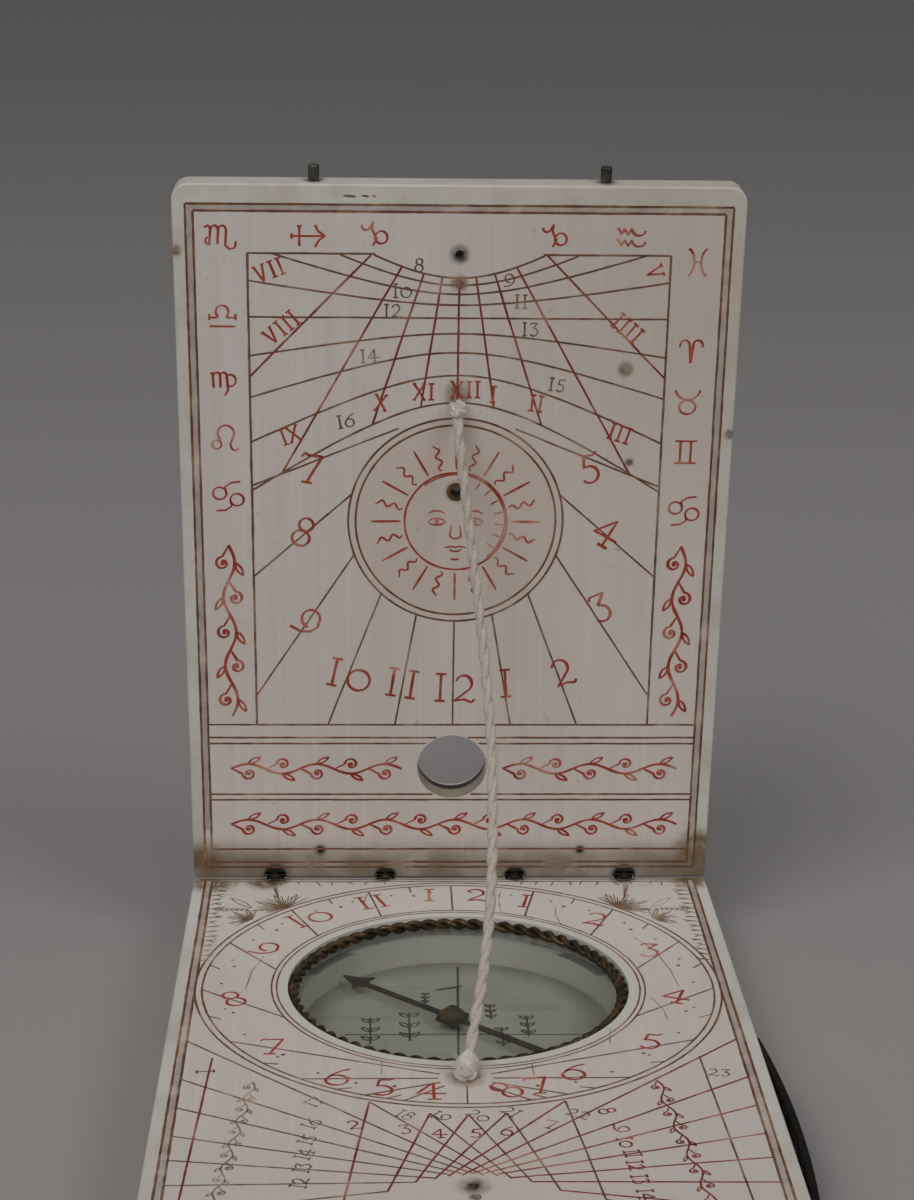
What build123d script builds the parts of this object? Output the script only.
from build123d import *
import math
import os

# Pocket diptych sundial: two ivory leaves joined by wire hinges at the rear edge of the lower one.
# Frame in millimetres. Origin: centre of the lower leaf's underside. +Z up, +Y to the hinge (north),
# +X to the right (east). The lid stands open and leans LID_LEAN degrees forward of upright.

# Leaves
LEAF_WIDTH = 72.0
LEAF_LENGTH = 97.5
BASE_THICKNESS = 10.0
LID_THICKNESS = 4.5
LID_LEAN = 5.8
FAR_CORNER_RADIUS = 2.2
HINGE_CORNER_RADIUS = 0.6
INNER_EDGE_RADIUS = 0.3
OUTER_EDGE_RADIUS = 0.8

HINGE_Y = LEAF_LENGTH / 2
HINGE_Z = BASE_THICKNESS

# Compass, measured from the hinge line towards the front and down from the dial face
COMPASS_SETBACK = 35.5
OPENING_RADIUS = 21.7
GLASS_SEAT_DEPTH = 2.6
GLASS_THICKNESS = 0.9
BOWL_RADIUS = 20.0
BOWL_DEPTH = 6.5
CARD_THICKNESS = 0.4
CARD_GAP = 0.1
RING_WIRE_RADIUS = 0.72
RING_DEPTH = 0.95
RING_GAP = 0.03

# Needle
NEEDLE_ANGLE = 138.0
NEEDLE_REACH = 19.0
NEEDLE_X = -0.7
NEEDLE_WIDTH = 0.75
NEEDLE_THICKNESS = 0.3
NEEDLE_TOP_DEPTH = 4.5
TAIL_WIDTH_SHARE = 1.4
HUB_RADIUS = 2.3
HUB_SIDES = 6
BARB_SETBACK = 3.7
BARB_HALF_WIDTH = 2.2
NECK_SETBACK = 4.5
CAP_RADIUS = 1.7
CAP_HEIGHT = 1.3
PIVOT_RADIUS = 0.45
PIVOT_CLEARANCE = 0.05
PIVOT_ROOT_DEPTH = 1.5
PIVOT_TIP_RADIUS = 0.05
PIVOT_TIP_HEIGHT = 0.3

# Wire hinges: at four places a staple in the lower leaf goes through an eye of the lid's wire
HINGE_WIRE_RADIUS = 0.3
HINGE_INNER_X = 9.1
HINGE_OUTER_X = 24.6
STAPLE_WIDTH = 1.7
STAPLE_LEG_LENGTH = 6.0
STAPLE_BEND_RADIUS = 0.4
EYE_RADIUS = 0.75
EYE_WIDTH = 0.8
EYE_CLEARANCE = 0.05
EYE_JOIN = 0.55
LID_WIRE_RUN_HEIGHT = 5.2
LID_WIRE_RUN_DEPTH = 2.0
LID_WIRE_BEND_RADIUS = 0.8
NOTCH_RADIUS = 0.95
NOTCH_WIDTH = 2.6
WIRE_PEG_X = 18.2
WIRE_PEG_HEIGHT = 4.4
WIRE_PEG_RADIUS = 0.4

# Latch: pins in the lid's far edge, hooks on the lower leaf's front face
LATCH_X = 18.3
LATCH_PIN_RADIUS = 0.7
LATCH_PIN_PROUD = 2.0
LATCH_PIN_DEPTH = 4.0
LATCH_PIN_ROUNDING = 0.25
HOOK_PIVOT_DROP = 5.0
HOOK_THICKNESS = 0.8
HOOK_GAP = 0.1
HOOK_EYE_RADIUS = 1.7
HOOK_SHANK_WIDTH = 2.2
HOOK_HEAD_RADIUS = 1.9
HOOK_PIN_CLEARANCE = 0.15
RIVET_RADIUS = 0.6
RIVET_HEAD_RADIUS = 1.15
RIVET_HEAD_HEIGHT = 0.5
RIVET_HEAD_ROUNDING = 0.3
RIVET_DEPTH = 3.0
RIVET_CLEARANCE = 0.05
RIVET_HEAD_GAP = 0.05

# Wind vane socket, sight hole and shadow pin holes
SOCKET_HEIGHT = 57.3
SOCKET_RADIUS = 1.25
SOCKET_BORE_RADIUS = 0.75
SIGHT_HOLE_HEIGHT = 17.3
SIGHT_HOLE_RADIUS = 4.8
LID_PIN_HOLE_HEIGHT = 88.8
BASE_PIN_HOLE_SETBACK = 86.9
PIN_HOLE_RADIUS = 0.55
LID_PIN_HOLE_DEPTH = 3.0
BASE_PIN_HOLE_DEPTH = 5.0

# Compartment in the right side, its bowed cover and the shadow pin kept in it
COVER_REAR_SETBACK = 46.5
COVER_FRONT_SETBACK = 94.0
COVER_TOP_DROP = 2.3
COVER_HEIGHT = 5.4
COVER_THICKNESS = 0.8
COVER_END_GAP = 0.15
COVER_BOW = 1.4
COVER_RIVET_SETBACK = 91.3
SLOT_REAR_SETBACK = 50.5
SLOT_FRONT_SETBACK = 86.0
SLOT_HEIGHT = 3.4
SLOT_DEPTH = 3.2
SLOT_CORNER_RADIUS = 1.2
NUB_SETBACK = 53.5
NUB_RADIUS = 0.6
NUB_RISE = 1.2
NUB_SINK = 0.25
SHADOW_PIN_RADIUS = 0.5
SHADOW_PIN_LENGTH = 13.5
SHADOW_PIN_TAPER = 3.0
SHADOW_PIN_TIP_RADIUS = 0.1
SHADOW_PIN_OFFSET = 10.0

# String gnomon: pegged into both leaves, with a knot at each face
STRING_RADIUS = 0.65
STRING_TOP_HEIGHT = 69.1
STRING_BOTTOM_SETBACK = 61.6
KNOT_RADIUS = 1.5
KNOT_PEG_RADIUS = 0.7
KNOT_PEG_DEPTH = 2.5
KNOT_LIFT = 0.5
KNOT_CUT = 1.1
ARC_SHARE = 0.45
# Hand-set points of the slack string, (x right, y from the hinge line, z above the dial face)
STRING_ROUTE = [
    (0.1, -9.3, 65.7),
    (0.6, -10.6, 60.9),
    (1.5, -12.3, 54.2),
    (2.5, -14.9, 46.4),
    (3.5, -18.6, 38.2),
    (4.2, -23.5, 30.2),
    (4.3, -29.6, 23.0),
    (4.0, -36.9, 16.8),
    (3.3, -45.0, 11.7),
    (2.2, -52.4, 8.1),
    (1.3, -57.0, 5.5),
    (0.6, -59.9, 3.3),
]

HINGE_LINE = Axis((0, HINGE_Y, HINGE_Z), (1, 0, 0))
FRONT_FACE_Y = HINGE_Y - LEAF_LENGTH
COMPASS_Y = HINGE_Y - COMPASS_SETBACK
BOWL_FLOOR = BASE_THICKNESS - BOWL_DEPTH
NEEDLE_TOP = BASE_THICKNESS - NEEDLE_TOP_DEPTH
COVER_MIDDLE_Z = BASE_THICKNESS - COVER_TOP_DROP - COVER_HEIGHT / 2
STANDING = (Align.CENTER, Align.CENTER, Align.MIN)
HANGING = (Align.CENTER, Align.CENTER, Align.MAX)


def leaned(upright):
    """Turns a piece built on the upright lid forward to where the lid stands."""
    return upright.rotate(HINGE_LINE, LID_LEAN)


def on_lid(x, height, depth=0.0):
    """A location on the upright lid: height above the hinge line, depth behind its inner face."""
    return Pos(x, HINGE_Y + depth, HINGE_Z + height)


def lid_cylinder(x, height, radius, depth, length):
    """A cylinder square to the upright lid, from depth to depth + length behind its inner face."""
    return on_lid(x, height, depth) * Rot(-90, 0, 0) * Cylinder(radius, length, align=STANDING)


def hinge_places(side):
    """The two places of a side's hinge along the hinge line, inner then outer."""
    return (side * HINGE_INNER_X, side * HINGE_OUTER_X)


def hinge_notch(x):
    """The round clearance that both leaves have about the hinge line at one place."""
    return Pos(x, HINGE_Y, HINGE_Z) * Rot(0, 90, 0) * Cylinder(NOTCH_RADIUS, NOTCH_WIDTH)


def wire(points, bend_radius):
    """A round wire of the hinges' size along straight runs with rounded bends."""
    path = FilletPolyline(*points, radius=bend_radius)
    section = Plane(origin=path @ 0, z_dir=path % 0) * Circle(HINGE_WIRE_RADIUS)
    return sweep(section, path=path)


def hinge_staple(x):
    """A small staple: a short run on the hinge line, both legs slanting down into the lower leaf."""
    reach = STAPLE_LEG_LENGTH / math.sqrt(2)
    left = Vector(x - STAPLE_WIDTH / 2, HINGE_Y, HINGE_Z)
    right = Vector(x + STAPLE_WIDTH / 2, HINGE_Y, HINGE_Z)
    leg = Vector(0, -reach, -reach)
    return wire([left + leg, left, right, right + leg], STAPLE_BEND_RADIUS)


def lid_hinge_wire(side):
    """A wire inside the upright lid with an eye at both ends; each eye turns on a staple."""
    lift = Vector(0, LID_WIRE_RUN_DEPTH, LID_WIRE_RUN_HEIGHT)
    start = lift.normalized() * EYE_JOIN
    inner, outer = (Vector(x, HINGE_Y, HINGE_Z) for x in hinge_places(side))
    shape = wire([inner + start, inner + lift, outer + lift, outer + start], LID_WIRE_BEND_RADIUS)
    for x in hinge_places(side):
        shape += on_lid(x, 0) * Rot(0, 90, 0) * Cylinder(EYE_RADIUS, EYE_WIDTH)
    for x in hinge_places(side):
        shape -= on_lid(x, 0) * Rot(0, 90, 0) * Cylinder(HINGE_WIRE_RADIUS + EYE_CLEARANCE, STAPLE_WIDTH)
    return shape


def wire_peg(side):
    """The peg through the lid, under the run of a hinge wire, that keeps it from being pulled out."""
    return lid_cylinder(side * WIRE_PEG_X, WIRE_PEG_HEIGHT, WIRE_PEG_RADIUS, 0, LID_THICKNESS)


def latch_pin(side):
    """A round-nosed pin standing out of the lid's far edge."""
    length = LATCH_PIN_PROUD + LATCH_PIN_DEPTH
    place = on_lid(side * LATCH_X, LEAF_LENGTH - LATCH_PIN_DEPTH, LID_THICKNESS / 2)
    pin = Cylinder(LATCH_PIN_RADIUS, length, align=STANDING)
    pin = fillet(pin.edges().sort_by(Axis.Z)[-1], LATCH_PIN_ROUNDING)
    return place * pin


def vane_socket():
    """The brass tube through the lid that takes the staff of a wind vane."""
    tube = lid_cylinder(0, SOCKET_HEIGHT, SOCKET_RADIUS, 0, LID_THICKNESS)
    return tube - lid_cylinder(0, SOCKET_HEIGHT, SOCKET_BORE_RADIUS, -1, LID_THICKNESS + 2)


def knot(face_point, outward, string_start, string_way):
    """A string knot: a ball on the face with a peg into the leaf, cut flat where the string leaves."""
    ball_centre = face_point + outward * KNOT_LIFT
    ball = Pos(ball_centre) * Sphere(KNOT_RADIUS)
    behind_face = Plane(origin=face_point, z_dir=outward)
    block = 10 * KNOT_RADIUS
    slab = behind_face * Box(block, block, block, align=HANGING)
    beyond = Plane(origin=string_start, z_dir=string_way)
    slice_off = beyond * Box(block, block, block, align=STANDING)
    peg = behind_face * Cylinder(KNOT_PEG_RADIUS, KNOT_PEG_DEPTH, align=HANGING)
    return ball - slab - slice_off + peg


def lid_face_point(height):
    """A point on the leaning lid's centre line, on its inner face."""
    lean = math.radians(LID_LEAN)
    return Vector(0, HINGE_Y - height * math.sin(lean), HINGE_Z + height * math.cos(lean))


def string_ends():
    """Where the string leaves each knot, and its direction there."""
    lean = math.radians(LID_LEAN)
    lid_outward = Vector(0, -math.cos(lean), -math.sin(lean))
    route = [Vector(x, HINGE_Y + y, HINGE_Z + z) for x, y, z in STRING_ROUTE]
    top_face = lid_face_point(STRING_TOP_HEIGHT)
    bottom_face = Vector(0, HINGE_Y - STRING_BOTTOM_SETBACK, HINGE_Z)
    upper = (top_face, lid_outward, route[0])
    lower = (bottom_face, Vector(0, 0, 1), route[-1])
    ends = []
    for face, outward, first in (upper, lower):
        centre = face + outward * KNOT_LIFT
        way = (first - centre).normalized()
        ends.append((face, outward, centre + way * KNOT_CUT, way))
    return ends, route


def string_gnomon():
    """The slack string as straight runs joined by tangent arcs, with its radii printed."""
    ends, route = string_ends()
    points = [ends[0][2]] + route + [ends[1][2]]
    radii = []
    for before, here, after in zip(points, points[1:], points[2:]):
        turn = math.radians((here - before).get_angle(after - here))
        shorter = min((here - before).length, (after - here).length)
        radii.append(ARC_SHARE * shorter / math.tan(turn / 2))
    path = FilletPolyline(*points, radius=radii)
    section = Plane(origin=path @ 0, z_dir=path % 0) * Circle(STRING_RADIUS)
    tube = sweep(section, path=path)
    expected = path.length * math.pi * STRING_RADIUS**2
    print("string radii", [round(radius, 1) for radius in radii])
    print("string length", round(path.length, 2), "volume share", round(tube.volume / expected, 4))
    return tube


def lid_knot():
    """The knot on the lid's inner face."""
    ends, _ = string_ends()
    return knot(*ends[0])


def base_knot():
    """The knot on the lower leaf's dial face."""
    ends, _ = string_ends()
    return knot(*ends[1])


def leaf_blank(thickness):
    """A flat leaf, hinge edge at y = 0, reaching to y = -LEAF_LENGTH, top face at z = 0."""
    outline = Pos(0, -LEAF_LENGTH / 2) * Rectangle(LEAF_WIDTH, LEAF_LENGTH)
    blank = extrude(outline, amount=-thickness)
    upright_edges = blank.edges().filter_by(Axis.Z)
    blank = fillet(upright_edges.group_by(Axis.Y)[0], FAR_CORNER_RADIUS)
    upright_edges = blank.edges().filter_by(Axis.Z)
    blank = fillet(upright_edges.group_by(Axis.Y)[-1], HINGE_CORNER_RADIUS)
    blank = fillet(blank.faces().sort_by(Axis.Z)[0].edges(), OUTER_EDGE_RADIUS)
    face_edges = blank.faces().sort_by(Axis.Z)[-1].edges()
    return fillet(face_edges.sort_by(Axis.Y)[:-3], INNER_EDGE_RADIUS)


def upper_leaf(fittings):
    """The lid, upright, with its holes and the seats of the given fittings."""
    blank = leaf_blank(LID_THICKNESS)
    leaf = Pos(0, HINGE_Y, HINGE_Z) * Rot(0, 0, 180) * Rot(-90, 0, 0) * blank
    leaf -= lid_cylinder(0, SIGHT_HOLE_HEIGHT, SIGHT_HOLE_RADIUS, -1, LID_THICKNESS + 2)
    leaf -= lid_cylinder(0, SOCKET_HEIGHT, SOCKET_RADIUS, -1, LID_THICKNESS + 2)
    leaf -= lid_cylinder(0, LID_PIN_HOLE_HEIGHT, PIN_HOLE_RADIUS, -1, LID_PIN_HOLE_DEPTH + 1)
    leaf -= lid_cylinder(0, STRING_TOP_HEIGHT, KNOT_PEG_RADIUS, -1, KNOT_PEG_DEPTH + 1)
    for x in (*hinge_places(-1), *hinge_places(1)):
        leaf -= hinge_notch(x)
    for fitting in fittings:
        leaf -= fitting
    return leaf


def compass_well():
    """The stepped round hollow for the compass: bowl below, glass seat and opening above."""
    bowl = Cylinder(BOWL_RADIUS, BOWL_DEPTH + 1, align=STANDING)
    seat = Cylinder(OPENING_RADIUS, GLASS_SEAT_DEPTH + 1, align=STANDING)
    well = Pos(0, COMPASS_Y, BOWL_FLOOR) * bowl
    return well + Pos(0, COMPASS_Y, BASE_THICKNESS - GLASS_SEAT_DEPTH) * seat


def side_slot():
    """The compartment cut into the right side of the lower leaf."""
    length = SLOT_FRONT_SETBACK - SLOT_REAR_SETBACK
    middle_y = HINGE_Y - (SLOT_FRONT_SETBACK + SLOT_REAR_SETBACK) / 2
    cutter = Box(SLOT_DEPTH * 2, length, SLOT_HEIGHT)
    cutter = fillet(cutter.edges().filter_by(Axis.X), SLOT_CORNER_RADIUS)
    return Pos(LEAF_WIDTH / 2, middle_y, COVER_MIDDLE_Z) * cutter


def lower_leaf(fittings):
    """The base leaf with the compass well, the side compartment and the seats of its fittings."""
    leaf = Pos(0, HINGE_Y, HINGE_Z) * leaf_blank(BASE_THICKNESS)
    leaf -= compass_well()
    leaf -= side_slot()
    pin_hole = Cylinder(PIN_HOLE_RADIUS, BASE_PIN_HOLE_DEPTH + 1, align=STANDING)
    leaf -= Pos(0, HINGE_Y - BASE_PIN_HOLE_SETBACK, HINGE_Z - BASE_PIN_HOLE_DEPTH) * pin_hole
    peg_hole = Cylinder(KNOT_PEG_RADIUS, KNOT_PEG_DEPTH + 1, align=STANDING)
    leaf -= Pos(0, HINGE_Y - STRING_BOTTOM_SETBACK, HINGE_Z - KNOT_PEG_DEPTH) * peg_hole
    for x in (*hinge_places(-1), *hinge_places(1)):
        leaf -= hinge_notch(x)
    for fitting in fittings:
        leaf -= fitting
    return leaf


def compass_card():
    """The disc on the floor of the bowl."""
    disc = Cylinder(BOWL_RADIUS - CARD_GAP, CARD_THICKNESS, align=STANDING)
    return Pos(0, COMPASS_Y, BOWL_FLOOR) * disc - compass_pivot()


def compass_pivot():
    """The pointed pin under the needle, driven through the card into the leaf."""
    root = BOWL_FLOOR - PIVOT_ROOT_DEPTH
    shoulder = NEEDLE_TOP + CAP_HEIGHT / 3
    shaft = Pos(NEEDLE_X, COMPASS_Y, root) * Cylinder(PIVOT_RADIUS, shoulder - root, align=STANDING)
    tip = Cone(PIVOT_RADIUS, PIVOT_TIP_RADIUS, PIVOT_TIP_HEIGHT, align=STANDING)
    return shaft + Pos(NEEDLE_X, COMPASS_Y, shoulder) * tip


def compass_glass():
    """The flat glass on its seat."""
    disc = Cylinder(OPENING_RADIUS - CARD_GAP, GLASS_THICKNESS, align=STANDING)
    return Pos(0, COMPASS_Y, BASE_THICKNESS - GLASS_SEAT_DEPTH) * disc


def glass_ring():
    """The retaining ring on the glass: a twisted pair of wires, here one round wire of their size."""
    major = OPENING_RADIUS - RING_WIRE_RADIUS - RING_GAP
    return Pos(0, COMPASS_Y, BASE_THICKNESS - RING_DEPTH) * Torus(major, RING_WIRE_RADIUS)


def compass_needle():
    """A flat steel needle with a barbed arrow at its north end and a six-sided hub bored for the pivot."""
    half = NEEDLE_WIDTH / 2
    one_edge = [
        (-NEEDLE_REACH, half * TAIL_WIDTH_SHARE),
        (NEEDLE_REACH - NECK_SETBACK, half),
        (NEEDLE_REACH - BARB_SETBACK * 0.95, BARB_HALF_WIDTH * 0.45),
        (NEEDLE_REACH - BARB_SETBACK, BARB_HALF_WIDTH),
        (NEEDLE_REACH - BARB_SETBACK * 0.6, BARB_HALF_WIDTH * 0.4),
    ]
    other_edge = [(x, -y) for x, y in reversed(one_edge)]
    blade = make_face(Polyline(*one_edge, (NEEDLE_REACH, 0), *other_edge, close=True))
    blade += RegularPolygon(HUB_RADIUS, HUB_SIDES)
    blade -= Circle(PIVOT_RADIUS + PIVOT_CLEARANCE)
    blade = extrude(blade, amount=-NEEDLE_THICKNESS)
    return Pos(NEEDLE_X, COMPASS_Y, NEEDLE_TOP) * Rot(0, 0, NEEDLE_ANGLE) * blade


def needle_cap():
    """The domed brass cap, with the blind bore that rests on the pivot."""
    shoulder = (CAP_RADIUS * 0.95, CAP_HEIGHT * 0.35)
    crown = (CAP_RADIUS * 0.35, CAP_HEIGHT)
    profile = make_face(Polyline((0, 0), (CAP_RADIUS, 0), shoulder, crown, (0, CAP_HEIGHT), close=True))
    cap = revolve(Plane.XZ * profile, axis=Axis.Z)
    bore = Cylinder(PIVOT_RADIUS + PIVOT_CLEARANCE, CAP_HEIGHT * 0.65, align=STANDING)
    return Pos(NEEDLE_X, COMPASS_Y, NEEDLE_TOP) * (cap - bore)


def rivet(shaft_length):
    """A rivet along +Z: its shaft below the origin, its domed head above."""
    shaft = Cylinder(RIVET_RADIUS, shaft_length, align=HANGING)
    head = Cylinder(RIVET_HEAD_RADIUS, RIVET_HEAD_HEIGHT, align=STANDING)
    head = fillet(head.edges().sort_by(Axis.Z)[-1], RIVET_HEAD_ROUNDING)
    return shaft + head


def hook_place(side):
    """The pivot of one hook on the front face: local +Z points forward, local +Y points up."""
    return Pos(side * LATCH_X, FRONT_FACE_Y, HINGE_Z - HOOK_PIVOT_DROP) * Rot(90, 0, 0)


def hook_rivet(side):
    """The rivet that a hook turns on."""
    head_start = HOOK_GAP + HOOK_THICKNESS + RIVET_HEAD_GAP
    return hook_place(side) * Pos(0, 0, head_start) * rivet(RIVET_DEPTH + head_start)


def latch_hook(side):
    """A flat brass hook, stored pointing outwards; turned up, its throat takes the lid's latch pin."""
    reach = HOOK_PIVOT_DROP + LID_THICKNESS / 2
    throat = LATCH_PIN_RADIUS + HOOK_PIN_CLEARANCE
    shape = Circle(HOOK_EYE_RADIUS) + Pos(0, reach) * Circle(HOOK_HEAD_RADIUS)
    shape += Pos(HOOK_SHANK_WIDTH * 0.2, reach / 2) * Rectangle(HOOK_SHANK_WIDTH, reach)
    shape -= Pos(0, reach) * Circle(throat)
    shape -= Pos(-HOOK_HEAD_RADIUS, reach) * Rectangle(2 * HOOK_HEAD_RADIUS, 2 * throat)
    shape -= Circle(RIVET_RADIUS + RIVET_CLEARANCE)
    plate = Pos(0, 0, HOOK_GAP) * extrude(shape, amount=HOOK_THICKNESS)
    if side < 0:
        plate = mirror(plate, about=Plane.YZ)
    return hook_place(side) * Rot(0, 0, -90 * side) * plate


def cover_place():
    """The cover's rivet on the right side face: local +Z points outwards, local +X points to the rear."""
    spot = (LEAF_WIDTH / 2, HINGE_Y - COVER_RIVET_SETBACK, COVER_MIDDLE_Z)
    return Plane(origin=spot, x_dir=(0, 1, 0), z_dir=(1, 0, 0)).location


def cover_bow_offset(setback):
    """How far the bowed strip's inner side stands off the side face at a setback from the hinge."""
    half = (COVER_FRONT_SETBACK - COVER_REAR_SETBACK) / 2
    middle = (COVER_FRONT_SETBACK + COVER_REAR_SETBACK) / 2
    radius = (half**2 + COVER_BOW**2) / (2 * COVER_BOW)
    along = setback - middle
    return COVER_END_GAP + COVER_BOW - (radius - math.sqrt(radius**2 - along**2))


def side_cover():
    """The bowed brass strip over the compartment, with a finger nub near its free rear end."""
    side = LEAF_WIDTH / 2
    middle = (COVER_FRONT_SETBACK + COVER_REAR_SETBACK) / 2
    spots = []
    for setback in (COVER_REAR_SETBACK, middle, COVER_FRONT_SETBACK):
        spots.append((side + cover_bow_offset(setback), HINGE_Y - setback))
    inner = ThreePointArc(*spots)
    outer = ThreePointArc(*[(x + COVER_THICKNESS, y) for x, y in spots])
    ends = Line(inner @ 0, outer @ 0) + Line(inner @ 1, outer @ 1)
    band = extrude(make_face(inner + outer + ends), amount=COVER_HEIGHT)
    band = Pos(0, 0, BASE_THICKNESS - COVER_TOP_DROP - COVER_HEIGHT) * band
    nub_x = side + cover_bow_offset(NUB_SETBACK) + COVER_THICKNESS - NUB_SINK
    band += Pos(nub_x, HINGE_Y - NUB_SETBACK, COVER_MIDDLE_Z + NUB_RISE) * Sphere(NUB_RADIUS)
    bore = Cylinder(RIVET_RADIUS + RIVET_CLEARANCE, 4 * (COVER_BOW + COVER_THICKNESS))
    return band - cover_place() * bore


def cover_rivet():
    """The rivet that the side cover turns on."""
    head_start = cover_bow_offset(COVER_RIVET_SETBACK - RIVET_HEAD_RADIUS) + COVER_THICKNESS + RIVET_HEAD_GAP
    return cover_place() * Pos(0, 0, head_start) * rivet(RIVET_DEPTH + head_start)


def shadow_pin():
    """The spare shadow pin lying in the compartment, pointed end to the rear."""
    floor_z = COVER_MIDDLE_Z - SLOT_HEIGHT / 2 + SHADOW_PIN_RADIUS
    straight = SHADOW_PIN_LENGTH - SHADOW_PIN_TAPER
    shaft = Cylinder(SHADOW_PIN_RADIUS, straight, align=STANDING)
    point = Cone(SHADOW_PIN_RADIUS, SHADOW_PIN_TIP_RADIUS, SHADOW_PIN_TAPER, align=STANDING)
    pin = shaft + Pos(0, 0, straight) * point
    start = (LEAF_WIDTH / 2 - SLOT_DEPTH / 2, HINGE_Y - SLOT_FRONT_SETBACK + SHADOW_PIN_OFFSET, floor_z)
    return Pos(*start) * Rot(-90, 0, 0) * pin


def build():
    """All the pieces, keyed by node name."""
    pieces = {}
    lid_fittings = {"vane_socket": vane_socket()}
    base_fittings = {"compass_pivot": compass_pivot(), "cover_rivet": cover_rivet()}
    for side, word in ((-1, "left"), (1, "right")):
        lid_fittings["lid_hinge_wire_" + word] = lid_hinge_wire(side)
        lid_fittings["wire_peg_" + word] = wire_peg(side)
        lid_fittings["latch_pin_" + word] = latch_pin(side)
        for x, place in zip(hinge_places(side), ("inner", "outer")):
            base_fittings["hinge_staple_" + place + "_" + word] = hinge_staple(x)
        base_fittings["hook_rivet_" + word] = hook_rivet(side)
        pieces["latch_hook_" + word] = latch_hook(side)
    pieces["upper_leaf"] = leaned(upper_leaf(lid_fittings.values()))
    for name, fitting in lid_fittings.items():
        pieces[name] = leaned(fitting)
    pieces["lower_leaf"] = lower_leaf(base_fittings.values())
    pieces.update(base_fittings)
    pieces["compass_card"] = compass_card()
    pieces["compass_glass"] = compass_glass()
    pieces["glass_ring"] = glass_ring()
    pieces["compass_needle"] = compass_needle()
    pieces["needle_cap"] = needle_cap()
    pieces["side_cover"] = side_cover()
    pieces["shadow_pin"] = shadow_pin()
    pieces["string_gnomon"] = string_gnomon()
    pieces["string_knot_upper"] = lid_knot()
    pieces["string_knot_lower"] = base_knot()
    return pieces


os.makedirs("parts", exist_ok=True)
for node, piece in build().items():
    export_step(piece, os.path.join("parts", node + ".step"))
